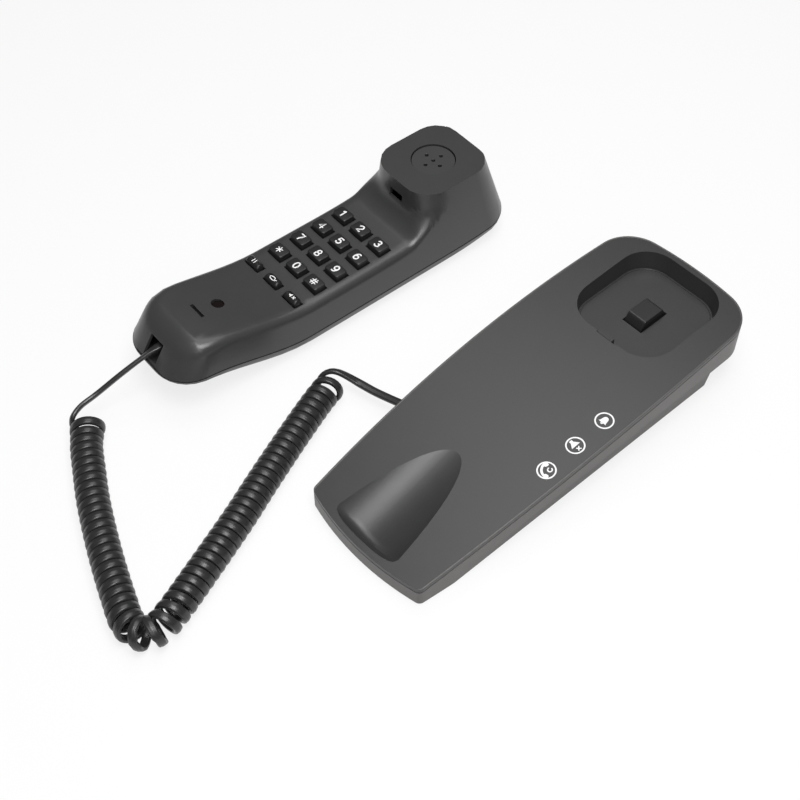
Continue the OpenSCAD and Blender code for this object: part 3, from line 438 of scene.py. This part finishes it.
# ---- cord ----
CORD_W = 4.2
CORD_T = 2.6
TURN_R = 6.4
PER_TURN = 24
PITCH = 4.5
BEND = 127.0
FLOOR_GAP = 0.15
PHI_START = math.radians(160)
PHI_END = math.radians(120)
# where the last turn leans to, and the outward side of the lead at the handset
TO_CAMERA = Vector((0.465, -0.418, 0.78))
SIDE_H = Vector((-0.82, -0.12, 0.42)).normalized()
LEAD_H = [
    (-77.36, -106.3, 28.6),
    (-77.5, -109.3, 28.6),
    (-78.5, -115, 27),
    (-81, -129, 21.5),
    (-83.4, -142, 15.5),
    (-83.6, -149.5, 14.2),
]
LEAD_B = [
    (-9, -42, 8.9),
    (-1, -40.2, 8.9),
    (7, -38.2, 9.5),
    (15, -36.2, 10.4),
    (21.1, -35.5, 10.8),
    (24.1, -35.5, 10.8),
]
COIL = [
    (-77, -153),
    (-66.5, -161),
    (-54, -168),
    (-40, -175.5),
    (-26, -182),
    (-12, -188),
    (2, -193.5),
    (13, -197.5),
    (22, -200.5),
    (30.5, -200.5),
    (34.5, -194),
    (32.5, -184),
    (25.5, -165),
    (19, -148),
    (12.5, -131.5),
    (5, -114),
    (-2, -97),
    (-9, -79.5),
    (-15.5, -62),
    (-20, -46.5),
]


def curve(points, steps):
    """Smooth points along a route, steps to a stretch."""
    p = [Vector(q) for q in points]
    p = [2 * p[0] - p[1]] + p + [2 * p[-1] - p[-2]]
    out = []
    for i in range(1, len(p) - 2):
        a, b, c, d = p[i - 1 : i + 3]
        for j in range(steps):
            t = j / steps
            out.append(
                0.5
                * (
                    2 * b
                    + (c - a) * t
                    + (2 * a - 5 * b + 4 * c - d) * t * t
                    + (3 * b - a - 3 * c + d) * t**3
                )
            )
    out.append(p[-2])
    return out


def along(points, s):
    """Point and direction at a distance s along a polyline."""
    for a, b in zip(points, points[1:]):
        d = (b - a).length
        if s <= d or b is points[-1]:
            return a + (b - a) * (s / d), (b - a).normalized()
        s -= d


def length_of(points):
    """Length of a polyline."""
    return sum((b - a).length for a, b in zip(points, points[1:]))


def hermite(a, ta, b, tb, steps):
    """Points between a and b on the curve with the tangents ta and tb."""
    out = []
    for j in range(1, steps):
        t = j / steps
        out.append(
            a * (2 * t**3 - 3 * t**2 + 1)
            + ta * (t**3 - 2 * t**2 + t)
            + b * (3 * t**2 - 2 * t**3)
            + tb * (t**3 - t**2)
        )
    return out


axis = curve([Vector((x, y, 0)) for x, y in COIL], 8)
axis_long = length_of(axis)


def pitch_at(s):
    """Distance between turns: looser at the bend and at both ends."""
    loose = max(0.0, 1 - abs(s - BEND) / 22)
    end = max(0.0, 1 - (axis_long - s) / 22)
    start = max(0.0, 1 - s / 9)
    return PITCH + 2.2 * loose + 1.0 * end + 0.8 * start


def turn_at(s, phi):
    """Point of the coiled cord and its outward direction."""
    centre, t = along(axis, s)
    fall = 0.6 * ease((s - axis_long + 14) / 8)
    t = t.lerp(-TO_CAMERA, fall).normalized()
    u = Vector((-t.y, t.x, 0)).normalized()
    w = t.cross(u)
    r = TURN_R + 1.0 * max(0.0, 1 - s / 10)
    out = math.cos(phi) * u + math.sin(phi) * w
    return centre + UP * (r + CORD_T / 2 + FLOOR_GAP) + r * out, out


turns, s, phi = [], 0.0, PHI_START
while s < axis_long:
    turns.append(turn_at(s, phi))
    phi += 2 * math.pi / PER_TURN
    s += pitch_at(s) / PER_TURN
last = math.floor((phi - PHI_END) / (2 * math.pi)) * 2 * math.pi + PHI_END
while phi > last + 1e-6:
    turns.pop()
    phi -= 2 * math.pi / PER_TURN

lead_h = curve(LEAD_H, 5)
lead_b = curve(LEAD_B, 5)
first, second = turns[0][0], turns[1][0]
into = hermite(
    lead_h[-1],
    (lead_h[-1] - lead_h[-2]).normalized() * 9,
    first,
    (second - first).normalized() * 9,
    7,
)
final, before = turns[-1][0], turns[-2][0]
leave = hermite(
    final,
    (final - before).normalized() * 8,
    lead_b[0],
    (lead_b[1] - lead_b[0]).normalized() * 8,
    7,
)
route = [(p, UP.lerp(SIDE_H, ease((i - 3) / 12))) for i, p in enumerate(lead_h)]
for j, p in enumerate(into):
    k = (j + 1) / (len(into) + 1)
    route.append((p, SIDE_H.lerp(turns[0][1], k)))
route += turns
for j, p in enumerate(leave):
    k = (j + 1) / (len(leave) + 1)
    route.append((p, turns[-1][1].lerp(UP, k)))
route += [(p, UP) for p in lead_b]


def ribbon_profile():
    """Rounded flat section with two shallow lengthwise grooves on its outer face."""
    out = []
    count = 26
    for k in range(count):
        q = 2 * math.pi * k / count
        c, s = math.cos(q), math.sin(q)
        a = CORD_W / 2 * math.copysign(abs(c) ** 0.75, c)
        b = CORD_T / 2 * math.copysign(abs(s) ** 0.7, s)
        if b > 0:
            b -= 0.16 * math.exp(-(((abs(a) - 0.95) / 0.28) ** 2))
        out.append((a, b))
    return out


def sweep(route, section):
    """Closed skin of a section carried along a route of points and outward normals."""
    bm = bmesh.new()
    rings = []
    for i, (p, out) in enumerate(route):
        t = (route[min(i + 1, len(route) - 1)][0] - route[max(i - 1, 0)][0]).normalized()
        n = (out - t * out.dot(t)).normalized()
        side = t.cross(n)
        rings.append([bm.verts.new(p + side * a + n * b) for a, b in section])
    skin(bm, rings)
    return bm


cord = piece(
    sweep(route, ribbon_profile()),
    "curly_cord",
    ROW,
    cord_skin,
    None,
    ("cord_lead_handset", "coil_arm_handset", "coil_bend", "coil_arm_base", "cord_lead_base"),
    turn=True,
)
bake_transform(cord)


# ---- white print ----
def stroke(bm, points, wide, high, closed=False, at=(0, 0, 0)):
    """A flat rounded bar of print along a line of plane points."""
    ring = 8
    p = [Vector((x + at[0], y + at[1], at[2])) for x, y in points]
    steps = [(q, 1.0) for q in p]
    if not closed:
        a, b = (p[0] - p[1]).normalized(), (p[-1] - p[-2]).normalized()
        caps = [math.radians(t) for t in (80, 55, 28)]
        head = [(p[0] + a * (wide / 2 * math.sin(t)), math.cos(t)) for t in caps]
        tail = [(p[-1] + b * (wide / 2 * math.sin(t)), math.cos(t)) for t in reversed(caps)]
        steps = head + steps + tail
    count = len(steps)
    rings = []
    for i, (q, k) in enumerate(steps):
        before = steps[(i - 1) % count if closed else max(i - 1, 0)][0]
        after = steps[(i + 1) % count if closed else min(i + 1, count - 1)][0]
        t = (after - before).normalized()
        side = Vector((-t.y, t.x, 0))
        rings.append(
            [
                bm.verts.new(
                    q
                    + side * (wide / 2 * k * math.cos(2 * math.pi * j / ring))
                    + UP * (high * math.sin(2 * math.pi * j / ring))
                )
                for j in range(ring)
            ]
        )
    skin(bm, rings, closed)


def arc(cx, cy, rx, ry, a, b, n=14):
    """Points of an elliptical arc from the angle a to b, in degrees."""
    return [
        (
            cx + rx * math.cos(math.radians(a + (b - a) * i / n)),
            cy + ry * math.sin(math.radians(a + (b - a) * i / n)),
        )
        for i in range(n + 1)
    ]


def patch(bm, points, high, at=(0, 0, 0)):
    """A filled flat shape of print."""
    low = [bm.verts.new((x + at[0], y + at[1], at[2] - 0.02)) for x, y in points]
    top = [bm.verts.new((x + at[0], y + at[1], at[2] + high)) for x, y in points]
    bm.faces.new(list(reversed(low)))
    bm.faces.new(top)
    for i in range(len(points)):
        k = (i + 1) % len(points)
        bm.faces.new((low[i], low[k], top[k], top[i]))


def turned(points):
    """Points turned by half a turn."""
    return [(-x, -y) for x, y in points]


SIX = [arc(0, -0.75, 1.22, 1.25, 180, 540, 22), arc(0.35, -0.6, 1.55, 2.6, 182, 70)]
GLYPHS = {
    "0": [arc(0, 0, 1.25, 2, 90, 450, 26)],
    "1": [[(-0.75, 1.15), (0.3, 1.95), (0.3, 1.9), (0.3, -2)]],
    "2": [arc(0, 0.85, 1.2, 1.15, 165, -35, 14) + [(-1.15, -1.95), (1.25, -1.95)]],
    "3": [
        arc(-0.05, 1.0, 1.1, 0.98, 150, -80),
        arc(-0.05, -0.95, 1.28, 1.05, 85, -150),
    ],
    "4": [[(0.6, -2), (0.6, 1.95), (-1.55, -0.85), (1.4, -0.85)]],
    "5": [
        [(1.05, 1.95), (-0.85, 1.95), (-1.05, 0.1)]
        + arc(-0.05, -0.7, 1.3, 1.28, 132, -150)
    ],
    "6": SIX,
    "7": [[(-1.25, 1.95), (1.25, 1.95), (0.6, 0.7), (-0.1, -0.7), (-0.4, -2)]],
    "8": [
        arc(0, 1.0, 1.02, 0.97, 90, 450, 20),
        arc(0, -0.97, 1.22, 1.03, 90, 450, 20),
    ],
    "9": [turned(one) for one in SIX],
    "star": [
        [(1.7 * math.cos(a), 1.7 * math.sin(a)), (-1.7 * math.cos(a), -1.7 * math.sin(a))]
        for a in (math.radians(90), math.radians(30), math.radians(150))
    ],
    "hash": [
        [(-0.45, 1.85), (-0.85, -1.85)],
        [(0.85, 1.85), (0.45, -1.85)],
        [(-1.75, 0.7), (1.75, 0.7)],
        [(-1.75, -0.7), (1.75, -0.7)],
    ],
    "hold": [[(-0.75, 1), (-0.75, -1)], [(0.75, 1), (0.75, -1)]],
    "redial": [
        arc(0, 0, 1.9, 0.95, 60, 360, 20),
        [(1.2, 0.35), (1.9, -0.15), (2.5, 0.45)],
    ],
    "mute": [[(0.9, 0.6), (2.1, -0.6)], [(0.9, -0.6), (2.1, 0.6)]],
}
SPEAKER = [(-3.2, 0.8), (-2.0, 0.8), (0.4, 2.5), (0.4, -2.5), (-2.0, -0.8), (-3.2, -0.8)]
THIN = {"star": 0.6, "hash": 0.55, "4": 0.72}
STROKE = 0.82
FUNCTION_STROKE = 0.5
PRINT_HIGH = 0.07

# ---- the handset's face and seam, along its length ----
FACE_Z = 27.5
FACE_RISE = 13
SEAM_Z = 10.8
SEAM_RISE = 12
SEAM_STEPS = 90
NEAR_Y = -110.5
FAR_Y = 103.5


def face_z(y):
    """Height of the handset's key face."""
    up = 2.5 * ((y - 10) / 36) ** 2 if y > 10 else 0
    return FACE_Z + FACE_RISE * ease((-28 - y) / 72) + up


def seam_z(y):
    """Height of the line between the handset's shells."""
    up = 3.5 * ((y - 60) / 45) ** 2 if y > 60 else 0
    return SEAM_Z + SEAM_RISE * ease((-32 - y) / 66) + up


def outline(t, side, inset, rise):
    """Point of the handset's outline near the seam, from the mouth end, t 0, to 1."""
    y = 0.0
    for _ in range(4):
        z = seam_z(y) + max(rise, 0)
        a = NEAR_Y + 0.68 * (z - 21) + inset
        b = FAR_Y - (z - 14) / 3 - inset
        y = (a + b) / 2 - (b - a) / 2 * math.cos(math.pi * t)
    w = 27 - 5 / 36 * (z - 14) - inset
    r = 20 - 0.145 * (z - 8) - inset
    d = min(r, max(0, y - b + r, a + r - y))
    return Vector((side * (w - r + math.sqrt(max(0, r * r - d * d))), y, seam_z(y) + rise))


def seam_shadow_line():
    """Near-black band of painted shadow along the parting gap between the handset's two shells,
    standing a hair proud of both.
    """
    bm = bmesh.new()
    n = SEAM_STEPS
    steps = [(i / n, 1) for i in range(n + 1)] + [(1 - i / n, -1) for i in range(n + 1)]
    rings = [
        [
            bm.verts.new(outline(t, side, inset, rise))
            for inset, rise in ((-0.03, 0.15), (-0.03, -0.6), (0.8, -0.6), (0.8, 0.15))
        ]
        for t, side in steps
    ]
    skin(bm, rings, closed=True)
    piece(bm, "handset_seam_shadow", HANDSET, shadow_black, "handset", turn=True)


seam_shadow_line()


def key_place(i):
    """Place of a dial key, counted along the rows from the far one."""
    return (i % 3 - 1) * KEY_PITCH[0], KEY_FIRST_Y - (i // 3) * KEY_PITCH[1]


def function_place(i):
    return (i - 1) * FUNCTION_PITCH, FUNCTION_Y


def print_key(name, place, wide):
    """The sign on a key's top."""
    bm = bmesh.new()
    x, y = place
    at = (x, y, face_z(y) + KEY_RISE)
    for line in GLYPHS[name]:
        loop = len(line) > 18 and (Vector(line[0]) - Vector(line[-1])).length < 1e-6
        stroke(bm, line[:-1] if loop else line, wide, PRINT_HIGH, loop, at)
    if name == "mute":
        patch(bm, [(px * 0.45 - 0.3, py * 0.45) for px, py in SPEAKER], PRINT_HIGH, at)
    piece(bm, "print_" + name, HANDSET, ink, "key_" + name, turn=True)


def rounded_ring(bm, x, y, z, w, l, r):
    """A ring of points on a rounded rectangle of half sizes w and l."""
    r = min(r, w - 0.05, l - 0.05)
    out = []
    for corner, (a, b) in enumerate(((1, 1), (-1, 1), (-1, -1), (1, -1))):
        for k in range(7):
            t = math.radians(90 * corner + 15 * k)
            out.append(
                bm.verts.new(
                    (x + a * (w - r) + r * math.cos(t), y + b * (l - r) + r * math.sin(t), z)
                )
            )
    return out


def key_cap(name, place, l, hump):
    """A key with rounded corners on its flange, with a flat or a humped top."""
    x, y = place
    w, top = KEY_HALF_W, face_z(y) + KEY_RISE
    low = min(face_z(y - l - 1), face_z(y + l + 1)) - 3.2
    foot = face_z(y) + 0.3
    levels = [(low, 0.8, 0.8), (low + 1, 0.8, 0.8), (low + 1, 0, 0), (foot, 0, 0)]
    if hump:
        for k in range(8):
            t = math.radians(8 + 82 * k / 7)
            z = top - (l + 0.4) * (1 - math.sin(t))
            if z > foot:
                cut = l - min(l, (l + 0.4) * math.cos(t) + 0.05)
                levels.append((z, -0.5 * (z - foot) / 3 - cut * 0.35, -cut))
    else:
        for k in range(6):
            t = math.radians(18 * k)
            z = top - 0.45 * (1 - math.sin(t))
            cut = 0.2 * (z - foot) / (top - foot) + 0.45 * (1 - math.cos(t))
            levels.append((z, -cut, -cut))
    bm = bmesh.new()
    rings = [rounded_ring(bm, x, y, z, w + a, l + b, 1.5) for z, a, b in levels]
    skin(bm, rings)
    key = "key_" + name
    piece(bm, key + "_cap", HANDSET, key_plastic, key, (key,), turn=True)


for i, name in enumerate(KEYS):
    print_key(name, key_place(i), THIN.get(name, STROKE))
for i, name in enumerate(FUNCTION_KEYS):
    print_key(name, function_place(i), FUNCTION_STROKE)


SIGN_X = 33.4
SIGN_R = 4.2
SIGN_HIGH = 0.05
BELL_Y, QUIET_Y, HANDSET_SIGN_Y = 10, -8.8, -27


def on_top(y):
    """Places plane print on the base's top about a point at y."""
    slope = (top_z(y + 1) - top_z(y - 1)) / 2
    return (
        BASE
        @ Matrix.Translation((SIGN_X, y, top_z(y)))
        @ Matrix.Rotation(math.atan(slope), 4, "X")
    )


def sign(name, y, lines, fills, wide=0.6):
    """A circled sign of lines and filled shapes on the base's top."""
    bm = bmesh.new()
    stroke(bm, arc(0, 0, SIGN_R, SIGN_R, 0, 360, 48)[:-1], 0.72, SIGN_HIGH, True)
    for line in lines:
        stroke(bm, line, wide, SIGN_HIGH)
    for fill in fills:
        patch(bm, fill, 0.045)
    piece(bm, name, on_top(y), ink, "base", turn=True)


BELL = (
    [(-2.2, -1.5), (-1.75, -1.0), (-1.5, 0.4)]
    + arc(0, 0.7, 1.4, 1.5, 170, 10, 12)
    + [(1.5, 0.4), (1.75, -1.0), (2.2, -1.5)]
)
sign("bell_sign", BELL_Y, [arc(0, -1.6, 0.45, 0.5, 180, 360, 8)], [BELL], 0.5)
sign(
    "quiet_sign",
    QUIET_Y,
    [[(1.5, 0.7), (2.9, -0.7)], [(1.5, -0.7), (2.9, 0.7)]],
    [SPEAKER],
)
sign(
    "handset_sign",
    HANDSET_SIGN_Y,
    [
        [(-1.5, 2.55), (-2.35, 1.7)],
        [(2.55, -1.75), (1.75, -2.6)],
        arc(0.9, 1.25, 1.05, 1.05, 80, -190, 14),
    ],
    [],
    0.62,
)
bm = bmesh.new()
stroke(bm, arc(1.5, 1.6, 4.45, 4.45, 168, 282, 12), 1.15, SIGN_HIGH)
stroke(bm, [(-1.9, 2.3), (-2.15, 1.5)], 1.5, SIGN_HIGH)
stroke(bm, [(1.5, -2.2), (2.3, -2.05)], 1.5, SIGN_HIGH)
piece(bm, "handset_sign_body", on_top(HANDSET_SIGN_Y), ink, "base", turn=True)


def wall_tab():
    """The reversible wall hook, with the heel that keeps it in its guide."""
    bm = bmesh.new()
    levels = [(16, 2, 45.2), (17.6, 2, 45.2), (17.6, 1.35, 46.55), (31.9, 1.35, 46.55)]
    rings = [rounded_ring(bm, 0, y, z, 4.5, l, 0.3) for z, l, y in levels]
    rings.append(rounded_ring(bm, 0, 46.55, 32.1, 4.35, 1.2, 0.2))
    skin(bm, rings)
    piece(
        bm,
        "wall_hook_tab",
        BASE,
        top_plastic,
        "wall_hook",
        ("wall_hook",),
        turn=True,
    )


# thin raised line round the floor of the cradle recess
bm = bmesh.new()
rim = [
    rounded_ring(bm, 0, 75.9, z, 25.6 - t, 28.2 - t, 14.4 - t)
    for z, t in ((23.7, 0), (24.05, 0.02), (24.2, 0.15), (24.2, 0.35), (24.05, 0.5), (23.7, 0.52))
]
skin(bm, rim, closed=True)
piece(bm, "recess_bead", BASE, top_plastic, "base", turn=True)

# ---- dressed pieces ----
dress("base_bottom_shell", lit_side_plastic, 0.35)
dress("base_feet", foot_rubber, 0.4)
dress("base_screws", steel, 0.12)
dress("hook_plunger", plunger_plastic, 0.6)
wall_tab()
dress("ringer_slider", jack_plastic, 0.15)
dress("line_jack", jack_plastic, 0.2)
dress("base_handset_jack", jack_plastic, 0.2)
dress("handset_jack", jack_plastic, 0.2)
plug_h = dress("plug_handset", jack_plastic, 0.2)
plug_b = dress("plug_base", jack_plastic, 0.2)
front = dress("handset_front_shell", handset_plastic, 0.3)
lip("ear_lip", front.data, on_ear_rim, 0.45, 0.45, handset_plastic, "handset")
dress("handset_back_shell", handset_plastic, 0.3)
dress("handset_screws", steel, 0.12)
dress("earpiece_disc", disc_plastic, 0.25)
dress("lamp", lamp_red, 0.4)
# Parts hidden inside the housings; most take the near-black finish that paints the shade in
# there.
INNER_PARTS = {
    "base_components": shadow_black,
    "hook_switch": shadow_black,
    "ringer_capsule": shadow_black,
    "ringer_switch": shadow_black,
    "earpiece_speaker": shadow_black,
    "microphone": shadow_black,
    "keypad_membrane": shadow_black,
    "base_board": board_green,
    "keypad_board": board_green,
    "hook_spring": steel,
    "handset_weight": steel,
}
for node, finish in INNER_PARTS.items():
    paint(node, finish)
cover = dress("base_top_cover", top_plastic, 0.4)
crisp_crown(cover.data)
# Rounded lip round the crowned top's outer edge, in the lighter side plastic: real rounding, and
# a painted highlight along the rim.
lip("cover_lip_highlight", cover.data, on_cover_rim, 0.5, 0.4, lit_side_plastic, "base")

for i, name in enumerate(KEYS):
    key_cap(name, key_place(i), KEY_HALF_L, False)
for i, name in enumerate(FUNCTION_KEYS):
    key_cap(name, function_place(i), FUNCTION_HALF_L, True)

[tuple(p * MM) for p, _ in route]

# ---- studio ----
SKY_LIGHT = 0.12
SKY_SEEN = 1.0
FLOOR_HALF = 3.0
FLOOR_GLOW = 0.8
world = bpy.data.worlds.new("studio")
bpy.context.scene.world = world
world.use_nodes = True
nodes, links = world.node_tree.nodes, world.node_tree.links
rays = nodes.new("ShaderNodeLightPath")
seen = nodes.new("ShaderNodeMath")
seen.operation = "MAXIMUM"
links.new(rays.outputs["Is Camera Ray"], seen.inputs[0])
links.new(rays.outputs["Is Transmission Ray"], seen.inputs[1])
power = nodes.new("ShaderNodeMapRange")
links.new(seen.outputs[0], power.inputs["Value"])
power.inputs[3].default_value = SKY_LIGHT
power.inputs[4].default_value = SKY_SEEN
nodes["Background"].inputs["Color"].default_value = (1, 1, 1, 1)
links.new(power.outputs[0], nodes["Background"].inputs["Strength"])

floor_bm = bmesh.new()
bmesh.ops.create_grid(floor_bm, x_segments=2, y_segments=2, size=FLOOR_HALF)
floor_mesh = bpy.data.meshes.new("floor")
floor_bm.to_mesh(floor_mesh)
floor_bm.free()
floor = link("floor", floor_mesh)
paper = Finish("studio_paper", Roughness=0.9)
paper.shader.inputs["Base Color"].default_value = (0.8, 0.8, 0.8, 1)
seen = paper.add("ShaderNodeLightPath", output="Is Camera Ray")
for kind in ("Is Glossy Ray", "Is Transmission Ray"):
    seen = seen.maths("MAXIMUM", seen, paper.add("ShaderNodeLightPath", output=kind))
glow = paper.add("ShaderNodeEmission", {}, {"Color": (1, 1, 1, 1), "Strength": 1.0})
mix = paper.add("ShaderNodeMixShader", {}, {0: seen * FLOOR_GLOW})
paper.tree.links.new(paper.shader.outputs[0], mix.socket.node.inputs[1])
paper.tree.links.new(glow.socket, mix.socket.node.inputs[2])
paper.tree.links.new(mix.socket, paper.tree.nodes["Material Output"].inputs["Surface"])
floor_mesh.materials.append(paper.material)


def lamp(name, place, aim, size, power_w):
    """A square soft light at a place, turned to its aim; sizes here are in metres."""
    data = bpy.data.lights.new(name, "AREA")
    data.shape = "SQUARE"
    data.size = size
    data.energy = power_w
    made = link(name, data)
    made.location = place
    made.rotation_mode = "QUATERNION"
    made.rotation_quaternion = (Vector(aim) - Vector(place)).to_track_quat("-Z", "Y")


lamp("soft_key", (0.6, -0.5, 0.7), (0.06, 0, 0), 0.4, 1.2)
lamp("soft_top", (-0.2, 0.25, 0.95), (0.05, 0, 0), 0.6, 3)
lamp("soft_near", (0.25, -0.15, 0.9), (0.08, -0.05, 0), 0.5, 8)

bpy.context.scene.view_settings.view_transform = "Standard"
